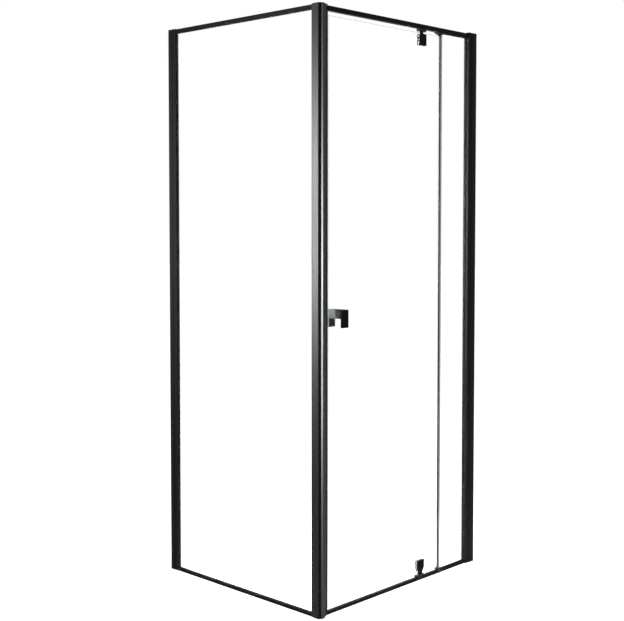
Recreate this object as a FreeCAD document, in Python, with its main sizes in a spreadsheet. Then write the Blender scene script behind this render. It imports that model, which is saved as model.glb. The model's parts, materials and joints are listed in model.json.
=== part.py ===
import FreeCAD, Part
import os
import re
import Sketcher

# Corner shower enclosure: a pivot door side along +X, a fixed return panel along +Y, a post at the corner.
# The origin is at tray level, where the middle planes of the door glass and the return glass cross.

# Driving sizes, in millimetres.
sizes = {
    "door_width": 787.0,           # glass corner to the wall face, door side
    "return_width": 690.0,         # glass corner to the wall face, return side
    "frame_height": 1850.0,
    "glass_thick": 6.0,
    "glass_ease": 0.05,            # room between glass and what grips it
    "glass_edge_gap": 1.0,         # glass edge to the floor of its slot
    "wall_thick": 1.6,             # wall of every extrusion
    "slide_gap": 0.15,             # stile sliding in its channel
    "part_gap": 0.1,               # loose trim in its seat
    "edge_bevel": 1.5,
    "corner_round": 0.8,
    "return_depth": 16.0,          # return rails and stiles, front to back
    "return_stile_width": 22.0,    # return front stile, along the panel
    "return_wall_width": 29.5,     # return wall stile, along the panel
    "return_slot_deep": 8.0,
    "return_head_high": 14.5,
    "return_head_slot_deep": 7.0,
    "return_sill_high": 11.5,
    "return_sill_slot_deep": 3.7,
    "return_port_side": 3.7,
    "return_core_side": 1.0,
    "channel_wide": 18.0,          # return wall channel, along the panel
    "channel_lap": 12.0,           # return stile inside its wall channel
    "gasket_thick": 1.4,
    "gasket_proud": 0.8,
    "post_wide": 23.7,             # corner post, along the return panel
    "post_front": 11.7,            # corner post face, in front of the door glass plane
    "post_show": 5.5,              # return stile that shows beyond the post
    "foot_thick": 1.2,
    "cap_thick": 2.5,
    "cap_round": 1.6,
    "plug_deep": 10.0,
    "rail_depth": 16.0,            # door side rails, front to back
    "head_high": 15.0,
    "head_slot_deep": 8.8,
    "sill_high": 9.5,
    "sill_slot_deep": 3.5,
    "rail_mouth": 9.2,
    "rail_port_side": 3.7,
    "rail_core_side": 1.0,
    "port_radius": 1.6,
    "nose_start": -0.6,            # jamb nose, along the door side
    "nose_wide": 13.1,
    "nose_proud": 8.0,
    "jamb_box": 10.0,
    "jamb_end": 26.0,
    "stop_reach": 14.0,            # door stop lip beyond the jamb
    "stop_inner": 5.0,             # door stop lip face behind the door glass plane
    "holder_reach": 6.0,
    "holder_proud": 0.5,
    "magnet_wide": 6.0,
    "magnet_thick": 3.0,
    "strike_gap": 0.5,
    "seal_head": 3.4,
    "seal_leg": 11.0,
    "seal_thick": 1.15,
    "seal_magnet_thick": 1.8,
    "door_stile_depth": 23.0,
    "door_stile_width": 33.0,
    "door_slot_deep": 10.0,
    "door_channel_wide": 25.0,
    "door_channel_lap": 15.0,
    "channel_cap_thick": 3.0,
    "channel_cap_round": 1.0,
    "return_cap_thick": 1.2,
    "return_cap_round": 0.8,
    "pivot_x": 496.0,
    "tail_length": 94.5,           # pivot axis to the door glass tail edge
    "tail_gap": 0.7,
    "strip_thick": 1.8,
    "strip_depth": 9.0,
    "fin_reach": 4.2,
    "fin_thick": 0.8,
    "edge_seal_leg": 10.0,
    "edge_seal_web": 0.9,
    "clip_proud": 1.0,             # edge clip in front of the rail faces
    "clip_high": 7.0,
    "clip_wedge": 19.0,            # head clip's wedge along the head rail
    "bead_sill_proud": 4.0,
    "bead_head_proud": 3.0,
    "filler_thick": 1.4,
    "glass_low": 20.0,             # door glass bottom edge above the tray
    "glass_head_gap": 13.0,        # door glass top edge to the head rail
    "bush_long": 40.0,
    "bush_top_high": 8.0,
    "bush_low_high": 8.0,
    "bush_spigot_long": 30.0,
    "bush_screw_side": 10.5,
    "pin_radius": 3.0,
    "pin_gap": 0.05,
    "pin_end_gap": 0.4,
    "pin_engage": 8.0,             # pin inside its bush
    "pin_in_core": 20.0,
    "stem_radius": 6.0,
    "stem_long": 20.0,
    "stem_deep": 12.0,
    "turn_gap": 0.3,               # stem to bush
    "clamp_wide": 35.0,
    "clamp_plate_thick": 4.0,
    "clamp_pad_thick": 1.0,
    "clamp_top_high": 37.2,
    "clamp_top_stem": 8.0,
    "clamp_low_high": 38.3,
    "clamp_low_stem": 10.2,
    "clamp_low_taper": 12.0,
    "core_wide": 22.0,
    "core_top_deep": 27.0,
    "core_low_deep": 28.0,
    "notch_ease": 1.0,
    "clamp_screw_side": 7.5,
    "clamp_screw_in": 20.0,
    "clamp_screw_radius": 2.0,
    "clamp_head_radius": 3.8,
    "clamp_head_deep": 2.2,
    "clamp_screw_hold": 3.0,
    "pull_x": 75.0,                # pull, nearer edge
    "pull_wide": 28.0,
    "pull_low": 880.0,
    "pull_high": 55.0,
    "pull_web_high": 27.5,
    "pull_plate_thick": 8.0,
    "pull_reach": 33.4,            # pull outer face from the glass plane
    "pull_round": 0.9,
    "pull_pad_thick": 1.0,
    "pull_pad_margin": 1.5,
    "stud_radius": 3.0,
    "stud_half": 14.0,
    "stud_gap": 0.1,
    "sleeve_radius": 5.0,
    "sleeve_gap": 0.2,
    "grub_radius": 2.0,
    "grub_long": 9.0,
    "drip_leg": 8.0,
    "drip_thick": 1.0,
    "drip_fin": 7.0,
    "drip_pivot_gap": 24.0,
    "screw_radius": 1.5,
    "screw_head_radius": 2.6,
    "screw_head_high": 2.6,
    "screw_hole_radius": 1.75,
    "screw_socket_radius": 1.5,
    "screw_socket_deep": 1.5,
    "driver_hole_radius": 4.5,
    "rail_screw_long": 32.0,
    "jamb_screw_long": 7.0,
    "jamb_screw_end": 120.0,
    "adjuster_long": 8.0,
    "adjuster_end": 150.0,
    "cover_radius": 5.0,
    "cover_high": 3.6,
    "cover_wall": 1.0,
    "wall_hole_radius": 2.5,
    "wall_hole_end": 100.0,
}

# Places that follow from the driving sizes.
derived = {
    "glass_half": "glass_thick / 2 + glass_ease",
    "return_half": "return_depth / 2",
    "return_inner": "return_half - wall_thick",
    "post_half": "return_half + slide_gap + wall_thick",
    "post_end": "post_wide - post_front",
    "return_mouth": "post_end + post_show",
    "return_wall_mouth": "return_width - channel_wide + channel_lap - return_wall_width",
    "return_slot_half": "glass_thick / 2 + gasket_thick + part_gap",
    "return_glass_start": "return_mouth - return_slot_deep + glass_edge_gap",
    "return_glass_end": "return_wall_mouth + return_slot_deep - glass_edge_gap",
    "return_head_low": "frame_height - return_head_high",
    "return_glass_low": "return_sill_high - return_sill_slot_deep + glass_edge_gap",
    "return_glass_high": "return_head_low + return_head_slot_deep - glass_edge_gap",
    "rail_half": "rail_depth / 2",
    "rail_inner": "rail_half - wall_thick",
    "mouth_half": "rail_mouth / 2",
    "bead_side": "rail_half - edge_bevel",
    "filler_side": "rail_inner - 2 * part_gap",
    "head_low": "frame_height - head_high",
    "sill_floor": "sill_high - sill_slot_deep",
    "head_floor": "head_low + head_slot_deep",
    "jamb_box_end": "post_half + jamb_box",
    "nose_end": "nose_start + nose_wide",
    "nose_front": "post_front + nose_proud",
    "lip_inner": "stop_inner + wall_thick",
    "holder_face": "jamb_end + holder_reach",
    "seal_face": "holder_face + strike_gap",
    "door_glass_start": "seal_face + seal_head",
    "door_glass_end": "pivot_x + tail_length",
    "door_glass_high": "head_low - glass_head_gap",
    "door_stile_half": "door_stile_depth / 2",
    "door_channel_half": "door_stile_half + slide_gap + wall_thick",
    "door_mouth": "door_width - door_channel_wide + door_channel_lap - door_stile_width",
    "strip_face": "door_glass_end + tail_gap",
    "edge_seal_start": "strip_face + strip_thick",
    "inline_start": "edge_seal_start + edge_seal_web",
    "edge_seal_end": "edge_seal_start + edge_seal_leg",
    "inline_end": "door_mouth + door_slot_deep - glass_edge_gap",
    "inline_low": "sill_floor + glass_edge_gap",
    "inline_high": "head_floor - glass_edge_gap",
    "clip_half": "rail_half + clip_proud",
    "bush_deep": "rail_depth - 2 * edge_bevel",
    "bush_spigot_deep": "rail_mouth - 2 * part_gap",
    "bush_top_face": "head_low - bush_top_high",
    "bush_low_face": "sill_high + bush_low_high",
    "stem_top_end": "bush_top_face - turn_gap",
    "clamp_top_end": "stem_top_end - clamp_top_stem",
    "clamp_top_low": "clamp_top_end - clamp_top_high",
    "core_top_low": "clamp_top_end - core_top_deep",
    "stem_low_end": "bush_low_face + turn_gap",
    "clamp_low_end": "stem_low_end + clamp_low_stem",
    "clamp_low_top": "clamp_low_end + clamp_low_high",
    "core_low_top": "clamp_low_end + core_low_deep",
    "plate_face": "glass_thick / 2 + clamp_pad_thick",
    "plate_outer": "plate_face + clamp_plate_thick",
    "notch_half": "core_wide / 2 + notch_ease",
    "pin_low_end": "bush_low_face - pin_engage",
    "pull_face": "glass_thick / 2 + pull_pad_thick",
    "pull_top": "pull_low + pull_high",
    "pull_web_low": "pull_top - pull_web_high",
    "stud_x": "pull_x + pull_wide / 2",
    "stud_z": "pull_top - pull_web_high / 2",
    "gasket_outer": "glass_thick / 2 + gasket_thick",
}

doc = FreeCAD.newDocument("shower_enclosure")
sheet = doc.addObject("Spreadsheet::Sheet", "Sizes")
for row, (alias, size) in enumerate(sizes.items(), 1):
    sheet.set(f"A{row}", alias)
    sheet.set(f"B{row}", str(size))
    sheet.setAlias(f"B{row}", alias)
doc.recompute()

pieces = []
directions = {"XY_Plane": 1, "YZ_Plane": 1, "XZ_Plane": -1}
turns = {
    "+X": ((0, 1, 0), 90), "-X": ((0, 1, 0), -90),
    "+Y": ((1, 0, 0), -90), "-Y": ((1, 0, 0), 90),
    "+Z": ((1, 0, 0), 0), "-Z": ((1, 0, 0), 180),
}


def spell(text):
    """Write a size or a place as an expression on the sheet."""
    def word(found):
        name = found.group(0)
        if name in derived:
            return f"({spell(derived[name])})"
        return f"Sizes.{name}" if name in sizes else name
    return re.sub(r"[a-z_][a-z_0-9]*", word, str(text))


def number(text):
    return float(doc.getObject("Sizes").evalExpression(spell(text)))


def bind(item, prop, text):
    item.setExpression(prop, spell(text))


def bind_place(item, place):
    for axis, text in zip("xyz", place):
        bind(item, f"Placement.Base.{axis}", text)


def new_body(label, place=("0", "0", "0"), groups=False):
    body = doc.addObject("PartDesign::Body", label)
    body.Label = label
    body.AllowCompound = groups
    bind_place(body, place)
    pieces.append(body)
    return body


def add_sketch(body, name, plane, start, loops):
    """A sketch across one axis at start; its loops are polygons of (u, v) or circles (u, v, radius)."""
    sketch = body.newObject("Sketcher::SketchObject", name)
    origin_plane = [f for f in body.Origin.OriginFeatures if f.Role == plane][0]
    sketch.AttachmentSupport = [(origin_plane, "")]
    sketch.MapMode = "FlatFace"
    bind(sketch, "AttachmentOffset.Base.z", f"{directions[plane]} * ({start})")
    for loop in loops:
        if len(loop[0]) == 3:
            u, v, radius = loop[0]
            centre = FreeCAD.Vector(number(u), number(v), 0)
            circle = Part.Circle(centre, FreeCAD.Vector(0, 0, 1), number(radius))
            index = sketch.addGeometry(circle, False)
            sizes_of = [
                ("DistanceX", (-1, 1, index, 3, centre.x), u),
                ("DistanceY", (-1, 1, index, 3, centre.y), v),
                ("Radius", (index, number(radius)), radius),
            ]
        else:
            corners = [FreeCAD.Vector(number(u), number(v), 0) for u, v in loop]
            after = corners[1:] + corners[:1]
            lines = [sketch.addGeometry(Part.LineSegment(p, q), False) for p, q in zip(corners, after)]
            for line, follower in zip(lines, lines[1:] + lines[:1]):
                sketch.addConstraint(Sketcher.Constraint("Coincident", line, 2, follower, 1))
            sizes_of = []
            for line, corner, (u, v) in zip(lines, corners, loop):
                sizes_of.append(("DistanceX", (-1, 1, line, 1, corner.x), u))
                sizes_of.append(("DistanceY", (-1, 1, line, 1, corner.y), v))
        for kind, values, text in sizes_of:
            place = sketch.addConstraint(Sketcher.Constraint(kind, *values))
            bind(sketch, f"Constraints[{place}]", text)
    return sketch


def extrude(body, name, plane, start, length, loops):
    """Pad the loops from start towards the plane's positive axis."""
    pad = body.newObject("PartDesign::Pad", name)
    pad.Profile = add_sketch(body, name + "_sketch", plane, start, loops)
    pad.Reversed = directions[plane] < 0
    bind(pad, "Length", length)
    doc.recompute()
    return pad


def cut(body, name, plane, start, length, loops):
    """Pocket the loops from start towards the plane's positive axis, and test that material went."""
    before = body.Shape.Volume
    pocket = body.newObject("PartDesign::Pocket", name)
    pocket.Profile = add_sketch(body, name + "_sketch", plane, start, loops)
    pocket.Reversed = directions[plane] > 0
    bind(pocket, "Length", length)
    doc.recompute()
    if body.Shape.Volume >= before:
        raise RuntimeError(f"{name} cuts nothing from {body.Label}")
    return pocket


def round_edges(body, name, radius, wanted):
    """Fillet the edges of the body's last feature whose end points both satisfy wanted."""
    base = body.Tip
    names = []
    for count, edge in enumerate(base.Shape.Edges, 1):
        ends = [vertex.Point for vertex in edge.Vertexes]
        if len(ends) == 2 and all(wanted(point) for point in ends) and wanted(edge.valueAt(
                (edge.FirstParameter + edge.LastParameter) / 2)):
            names.append(f"Edge{count}")
    fillet = body.newObject("PartDesign::Fillet", name)
    fillet.Base = (base, names)
    bind(fillet, "Radius", radius)
    doc.recompute()
    return fillet


def near(value, text):
    return abs(value - number(text)) < 0.001


def box_loop(u_low, u_high, v_low, v_high):
    return [(u_low, v_low), (u_high, v_low), (u_high, v_high), (u_low, v_high)]


def stile_loops(half, width, slot, mouth_half, toward):
    """A stile with a glass slot; depth runs from the mouth, and toward places (depth, side) in the sketch."""
    inner = f"{half} - wall_thick"
    outline = [
        ("0", half), (width, half), (width, f"-({half})"), ("0", f"-({half})"), ("0", f"-({mouth_half})"),
        ("wall_thick", f"-({mouth_half})"), ("wall_thick", f"-({inner})"), (slot, f"-({inner})"),
        (slot, inner), ("wall_thick", inner), ("wall_thick", mouth_half), ("0", mouth_half),
    ]
    chamber = box_loop(f"{slot} + wall_thick", f"{width} - wall_thick", f"-({inner})", inner)
    return [[toward(*point) for point in outline], [toward(*point) for point in chamber]]


def channel_loops(half, width, toward):
    """A wall channel; depth runs from its web."""
    inner = f"{half} - wall_thick"
    outline = [
        ("0", half), ("0", f"-({half})"), (width, f"-({half})"), (width, f"-({inner})"),
        ("wall_thick", f"-({inner})"), ("wall_thick", inner), (width, inner), (width, half),
    ]
    return [[toward(*point) for point in outline]]


def rail_loops(half, high, slot, mouth_half, port_side, core_side, opens_up):
    """A rail with bevelled edges, a glass slot, a hollow core and two screw ports beside it."""
    inner = f"{half} - wall_thick"
    flat = f"{half} - edge_bevel"
    outline = [
        (f"-({flat})", "0"), (f"-({mouth_half})", "0"), (f"-({mouth_half})", "wall_thick"),
        (f"-({inner})", "wall_thick"), (f"-({inner})", slot), (inner, slot), (inner, "wall_thick"),
        (mouth_half, "wall_thick"), (mouth_half, "0"), (flat, "0"), (half, "edge_bevel"),
        (half, f"{high} - edge_bevel"), (flat, high), (f"-({flat})", high),
        (f"-({half})", f"{high} - edge_bevel"), (f"-({half})", "edge_bevel"),
    ]
    core = box_loop(f"-({core_side})", core_side, f"{slot} + wall_thick", f"{high} - wall_thick")
    ports = [[(side, f"({slot} + {high}) / 2", "port_radius")] for side in (f"-({port_side})", port_side)]
    loops = [outline, core] + ports
    if opens_up:
        loops = [[(p[0], f"{high} - ({p[1]})") + tuple(p[2:]) for p in loop] for loop in loops]
    return loops


def gasket_loops(outer, deep, toward):
    """A U gasket on a glass edge; depth runs from the slot mouth, negative into the slot."""
    outline = [
        (f"-({deep} - part_gap)", f"-({outer})"), (f"-({deep} - part_gap)", outer), ("gasket_proud", outer),
        ("gasket_proud", "glass_half"), (f"-({deep} - glass_edge_gap)", "glass_half"),
        (f"-({deep} - glass_edge_gap)", "-(glass_half)"), ("gasket_proud", "-(glass_half)"),
        ("gasket_proud", f"-({outer})"),
    ]
    return [[toward(*point) for point in outline]]


def cylinder(name, place, turn, radius, length):
    rod = doc.addObject("Part::Cylinder", name)
    bind(rod, "Radius", radius)
    bind(rod, "Height", length)
    rod.Placement.Rotation = FreeCAD.Rotation(FreeCAD.Vector(*turns[turn][0]), turns[turn][1])
    bind_place(rod, place)
    return rod


def shifted(place, turn, amount):
    """A place moved by amount along a turn's direction."""
    moved = list(place)
    axis = "XYZ".index(turn[1])
    moved[axis] = f"{place[axis]} {turn[0]} ({amount})"
    return tuple(moved)


def add_screw(name, place, turn, length,
              radius="screw_radius", head="screw_head_radius", high="screw_head_high"):
    """A socket screw whose head seats at place and whose shank runs along turn."""
    top = shifted(place, turn, f"-({high})")
    shank = cylinder(name + "_shank", place, turn, radius, length)
    cheese = cylinder(name + "_head", top, turn, head, high)
    whole = doc.addObject("Part::Fuse", name + "_solid")
    whole.Base = shank
    whole.Tool = cheese
    socket = doc.addObject("Part::Prism", name + "_socket")
    socket.Polygon = 6
    bind(socket, "Circumradius", "screw_socket_radius")
    bind(socket, "Height", "screw_socket_deep")
    socket.Placement.Rotation = FreeCAD.Rotation(FreeCAD.Vector(*turns[turn][0]), turns[turn][1])
    bind_place(socket, top)
    screw = doc.addObject("Part::Cut", name)
    screw.Base = whole
    screw.Tool = socket
    return screw


def group(label, members):
    bundle = doc.addObject("Part::Compound", label)
    bundle.Label = label
    bundle.Links = members
    pieces.append(bundle)
    return bundle


def heights(end, count):
    """Evenly spaced heights from end above the tray to end below the frame's top."""
    return [f"{end} + {step} * (frame_height - 2 * {end}) / {count - 1}" for step in range(count)]


def along_y(start, sign):
    return lambda depth, side: (side, f"{start} {sign} ({depth})")


def along_x(start, sign):
    return lambda depth, side: (f"{start} {sign} ({depth})", side)


stand_height = "frame_height - foot_thick"

# Corner post: a channel that takes the return panel's front stile
post = new_body("corner_post", ("0", "0", "foot_thick"))
extrude(post, "post_section", "XY_Plane", "0", stand_height,
        channel_loops("post_half", "post_wide", along_y("-(post_front)", "+")))
jamb_heights = heights("jamb_screw_end", 4)
cut(post, "post_jamb_holes", "YZ_Plane", "return_half", "2 * wall_thick",
    [[("0", f"{rise} - foot_thick", "screw_hole_radius")] for rise in jamb_heights])
round_edges(post, "post_rounds", "corner_round",
            lambda point: near(point.y, "-(post_front)") and near(abs(point.x), "post_half"))

# Strike jamb: box, overlapping nose, holder slot and door stop lip
jamb = new_body("strike_jamb")
jamb_outline = [
    ("nose_start", "-(nose_front)"), ("nose_end", "-(nose_front)"), ("nose_end", "-(post_front)"),
    ("jamb_end", "-(post_front)"), ("jamb_end", "wall_thick - post_front"),
    ("jamb_box_end", "wall_thick - post_front"), ("jamb_box_end", "rail_inner"),
    ("jamb_end - wall_thick", "rail_inner"), ("jamb_end - wall_thick", "stop_inner"),
    ("jamb_end + stop_reach", "stop_inner"), ("jamb_end + stop_reach", "lip_inner"),
    ("jamb_end", "lip_inner"), ("jamb_end", "rail_half"), ("post_half", "rail_half"),
    ("post_half", "-(post_front)"), ("nose_start", "-(post_front)"),
]
jamb_chamber = box_loop("post_half + wall_thick", "jamb_box_end - wall_thick",
                        "wall_thick - post_front", "rail_inner")
nose_chamber = box_loop("nose_start + wall_thick", "nose_end - wall_thick",
                        "wall_thick - nose_front", "-(post_front + wall_thick)")
extrude(jamb, "jamb_section", "XY_Plane", "0", "frame_height", [jamb_outline, jamb_chamber, nose_chamber])
lip_end = box_loop("jamb_end", "jamb_end + stop_reach + wall_thick", "stop_inner - wall_thick", "lip_inner")
cut(jamb, "sill_clearance", "XY_Plane", "0", "sill_high + part_gap", [lip_end])
cut(jamb, "head_clearance", "XY_Plane", "head_low - part_gap", "head_high + part_gap", [lip_end])
cut(jamb, "jamb_fixing_holes", "YZ_Plane", "post_half - part_gap", "wall_thick + 2 * part_gap",
    [[("0", rise, "screw_hole_radius")] for rise in jamb_heights])
cut(jamb, "jamb_driver_holes", "YZ_Plane", "jamb_box_end - wall_thick - part_gap",
    "wall_thick + 2 * part_gap", [[("0", rise, "driver_hole_radius")] for rise in jamb_heights])
door_port_heights = ("sill_floor / 2", "(head_floor + frame_height) / 2")
door_ports = [(side, rise) for side in ("-(rail_port_side)", "rail_port_side") for rise in door_port_heights]
cut(jamb, "jamb_rail_holes", "YZ_Plane", "jamb_box_end - wall_thick - part_gap",
    "jamb_end - jamb_box_end + wall_thick + 2 * part_gap",
    [[(side, rise, "screw_hole_radius")] for side, rise in door_ports])
round_edges(jamb, "nose_rounds", "corner_round",
            lambda point: near(point.y, "-(nose_front)")
            and (near(point.x, "nose_start") or near(point.x, "nose_end")))

holder = new_body("jamb_magnet_holder", ("0", "0", "sill_high + part_gap"))
holder_outline = [
    ("jamb_box_end + part_gap", "wall_thick - post_front + part_gap"),
    ("jamb_end", "wall_thick - post_front + part_gap"), ("jamb_end", "-(post_front + holder_proud)"),
    ("holder_face", "-(post_front + holder_proud)"), ("holder_face", "stop_inner - 4 * part_gap"),
    ("jamb_end - wall_thick - part_gap", "stop_inner - 4 * part_gap"),
    ("jamb_end - wall_thick - part_gap", "rail_inner - part_gap"),
    ("jamb_box_end + part_gap", "rail_inner - part_gap"),
]
magnet_room = box_loop("holder_face - seal_thick - magnet_thick", "holder_face - seal_thick",
                       "-(magnet_wide / 2)", "magnet_wide / 2")
extrude(holder, "holder_section", "XY_Plane", "0", "head_low - sill_high - 2 * part_gap",
        [holder_outline, magnet_room])

magnet = new_body("jamb_magnet", ("0", "0", "sill_high + part_gap"))
extrude(magnet, "jamb_magnet_section", "XY_Plane", "0", "head_low - sill_high - 2 * part_gap",
        [box_loop("holder_face - seal_thick - magnet_thick + part_gap", "holder_face - seal_thick - part_gap",
                  "-(magnet_wide / 2 - part_gap)", "magnet_wide / 2 - part_gap")])

group("jamb_screws", [
    add_screw(f"jamb_screw_{step}", ("post_half + wall_thick", "0", rise), "-X", "jamb_screw_long")
    for step, rise in enumerate(jamb_heights)])


# Corner cap over the post, the return stile and the jamb, and a foot under the post and the stile
corner_front = [("-(post_half)", "-(post_front)"), ("nose_start", "-(nose_front)")]
corner_back = [
    ("post_half", "post_end"), ("return_half", "post_end"), ("return_half", "return_mouth"),
    ("-(return_half)", "return_mouth"), ("-(return_half)", "post_end"), ("-(post_half)", "post_end"),
]
cap_front = "-(post_front + holder_proud)"
cap_outline = corner_front + [
    ("nose_end", "-(nose_front)"), ("nose_end", cap_front), ("holder_face", cap_front),
    ("holder_face", "rail_half"), ("post_half", "rail_half"),
] + corner_back
foot_outline = corner_front + [
    ("nose_start", "-(post_front)"), ("post_half", "-(post_front)"),
] + corner_back
stile_back = "return_mouth - return_stile_width"
corner_plugs = [
    box_loop("-(return_half)", "return_half",
             "wall_thick - post_front + part_gap", f"{stile_back} - part_gap"),
    box_loop("nose_start + wall_thick + part_gap", "nose_end - wall_thick - part_gap",
             "wall_thick - nose_front + part_gap", "-(post_front + wall_thick + part_gap)"),
]
cap = new_body("corner_cap", ("0", "0", "frame_height"))
extrude(cap, "cap_plate", "XY_Plane", "0", "cap_thick", [cap_outline])
round_edges(cap, "cap_rounds", "cap_round", lambda point: near(point.z, "cap_thick"))
extrude(cap, "cap_plugs", "XY_Plane", "-(plug_deep)", "plug_deep", corner_plugs)

foot = new_body("corner_foot")
extrude(foot, "foot_plate", "XY_Plane", "0", "foot_thick", [foot_outline])
extrude(foot, "foot_plug", "XY_Plane", "foot_thick", "plug_deep", corner_plugs[:1])


# Return panel stiles, rails, glass and gaskets
return_port_heights = ("(return_sill_high - return_sill_slot_deep) / 2",
                       "frame_height - (return_head_high - return_head_slot_deep) / 2")
return_ports = [(side, rise) for side in ("-(return_port_side)", "return_port_side")
                for rise in return_port_heights]
slot_half = "return_slot_half"
front_stile = new_body("return_front_stile", ("0", "return_mouth", "foot_thick"))
extrude(front_stile, "front_stile_section", "XY_Plane", "0", stand_height,
        stile_loops("return_half", "return_stile_width", "return_slot_deep", slot_half, along_y("0", "-")))
cut(front_stile, "front_stile_rail_holes", "XZ_Plane", "-(return_slot_deep + wall_thick + part_gap)",
    "return_slot_deep + wall_thick + 2 * part_gap",
    [[(side, f"{rise} - foot_thick", "screw_hole_radius")] for side, rise in return_ports])
cut(front_stile, "front_stile_jamb_holes", "YZ_Plane", "return_inner - part_gap",
    "wall_thick + 2 * part_gap",
    [[("-(return_mouth)", f"{rise} - foot_thick", "port_radius")] for rise in jamb_heights])

wall_stile = new_body("return_wall_stile", ("0", "return_wall_mouth", "0"))
extrude(wall_stile, "wall_stile_section", "XY_Plane", "0", "frame_height",
        stile_loops("return_half", "return_wall_width", "return_slot_deep", slot_half, along_y("0", "+")))
cut(wall_stile, "wall_stile_rail_holes", "XZ_Plane", "-(part_gap)",
    "return_slot_deep + wall_thick + 2 * part_gap",
    [[(side, rise, "screw_hole_radius")] for side, rise in return_ports])
return_adjuster = "(return_width - channel_wide + return_wall_mouth + return_wall_width) / 2"
adjuster_heights = heights("adjuster_end", 3)
cut(wall_stile, "wall_stile_adjuster_holes", "YZ_Plane", "return_inner - part_gap",
    "wall_thick + 2 * part_gap",
    [[(f"{return_adjuster} - return_wall_mouth", rise, "port_radius")] for rise in adjuster_heights])

wall_hole_heights = heights("wall_hole_end", 4)
return_channel = new_body("return_wall_channel", ("0", "return_width", "0"))
extrude(return_channel, "return_channel_section", "XY_Plane", "0", "frame_height",
        channel_loops("post_half", "channel_wide", along_y("0", "-")))
cut(return_channel, "return_wall_holes", "XZ_Plane", "-(wall_thick + part_gap)",
    "wall_thick + 2 * part_gap", [[("0", rise, "wall_hole_radius")] for rise in wall_hole_heights])
cut(return_channel, "return_adjuster_holes", "YZ_Plane", "return_half", "2 * wall_thick",
    [[(f"{return_adjuster} - return_width", rise, "screw_hole_radius")] for rise in adjuster_heights])
round_edges(return_channel, "return_channel_rounds", "corner_round",
            lambda point: near(abs(point.x), "post_half") and near(point.y, "-(channel_wide)"))

return_run = "return_wall_mouth - return_mouth"
for label, low, high, slot, opens_up in (
        ("return_bottom_rail", "0", "return_sill_high", "return_sill_slot_deep", True),
        ("return_top_rail", "return_head_low", "return_head_high", "return_head_slot_deep", False)):
    rail = new_body(label, ("0", "return_mouth", low))
    extrude(rail, label + "_section", "XZ_Plane", "0", return_run,
            rail_loops("return_half", high, slot, slot_half,
                       "return_port_side", "return_core_side", opens_up))

glass = new_body("return_glass")
extrude(glass, "return_pane", "YZ_Plane", "-(glass_thick) / 2", "glass_thick",
        [box_loop("return_glass_start", "return_glass_end", "return_glass_low", "return_glass_high")])

gasket_run = "return_head_low - return_sill_high - 2 * gasket_proud"
for label, mouth, sign in (("return_post_gasket", "return_mouth", "+"),
                           ("return_wall_gasket", "return_wall_mouth", "-")):
    gasket = new_body(label, ("0", mouth, "return_sill_high + gasket_proud"))
    extrude(gasket, label + "_section", "XY_Plane", "0", gasket_run,
            gasket_loops("gasket_outer", "return_slot_deep", along_y("0", sign)))
for label, mouth, sign, slot in (
        ("return_sill_gasket", "return_sill_high", "+", "return_sill_slot_deep"),
        ("return_head_gasket", "return_head_low", "-", "return_head_slot_deep")):
    gasket = new_body(label, ("0", "return_mouth + gasket_proud", mouth))
    extrude(gasket, label + "_section", "XZ_Plane", "0", f"{return_run} - 2 * gasket_proud",
            gasket_loops("gasket_outer", slot, along_y("0", sign)))


# Door side rails, wall stile and channel
door_run = "door_mouth - jamb_end"
head = new_body("head_rail", ("jamb_end", "0", "head_low"))
extrude(head, "head_section", "YZ_Plane", "0", door_run,
        rail_loops("rail_half", "head_high", "head_slot_deep", "mouth_half",
                   "rail_port_side", "rail_core_side", False))
bush_screw_places = [f"pivot_x {sign} bush_screw_side" for sign in "-+"]
cut(head, "head_bush_holes", "XY_Plane", "head_slot_deep - part_gap", "wall_thick + 2 * part_gap",
    [[(f"{place} - jamb_end", "0", "port_radius")] for place in bush_screw_places])
sill = new_body("sill_rail", ("jamb_end", "0", "0"))
extrude(sill, "sill_section", "YZ_Plane", "0", door_run,
        rail_loops("rail_half", "sill_high", "sill_slot_deep", "mouth_half",
                   "rail_port_side", "rail_core_side", True))
cut(sill, "sill_bush_holes", "XY_Plane", "sill_floor - wall_thick - part_gap", "wall_thick + 2 * part_gap",
    [[(f"{place} - jamb_end", "0", "port_radius")] for place in bush_screw_places])

door_stile = new_body("door_wall_stile", ("door_mouth", "0", "0"))
extrude(door_stile, "door_stile_section", "XY_Plane", "0", "frame_height",
        stile_loops("door_stile_half", "door_stile_width", "door_slot_deep", slot_half, along_x("0", "+")))
cut(door_stile, "door_stile_rail_holes", "YZ_Plane", "-(part_gap)",
    "door_slot_deep + wall_thick + 2 * part_gap",
    [[(side, rise, "screw_hole_radius")] for side, rise in door_ports])
door_adjuster = "(door_width - door_channel_wide + door_mouth + door_stile_width) / 2"
cut(door_stile, "door_stile_adjuster_holes", "XZ_Plane", "door_stile_half - wall_thick - part_gap",
    "wall_thick + 2 * part_gap",
    [[(f"{door_adjuster} - door_mouth", rise, "port_radius")] for rise in adjuster_heights])

door_channel = new_body("door_wall_channel", ("door_width", "0", "0"))
extrude(door_channel, "door_channel_section", "XY_Plane", "0", "frame_height",
        channel_loops("door_channel_half", "door_channel_wide", along_x("0", "-")))
cut(door_channel, "door_wall_holes", "YZ_Plane", "-(wall_thick + part_gap)", "wall_thick + 2 * part_gap",
    [[("0", rise, "wall_hole_radius")] for rise in wall_hole_heights])
cut(door_channel, "door_adjuster_holes", "XZ_Plane", "door_stile_half", "2 * wall_thick",
    [[(f"{door_adjuster} - door_width", rise, "screw_hole_radius")] for rise in adjuster_heights])
round_edges(door_channel, "door_channel_rounds", "corner_round",
            lambda point: near(abs(point.y), "door_channel_half") and near(point.x, "-(door_channel_wide)"))

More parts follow.
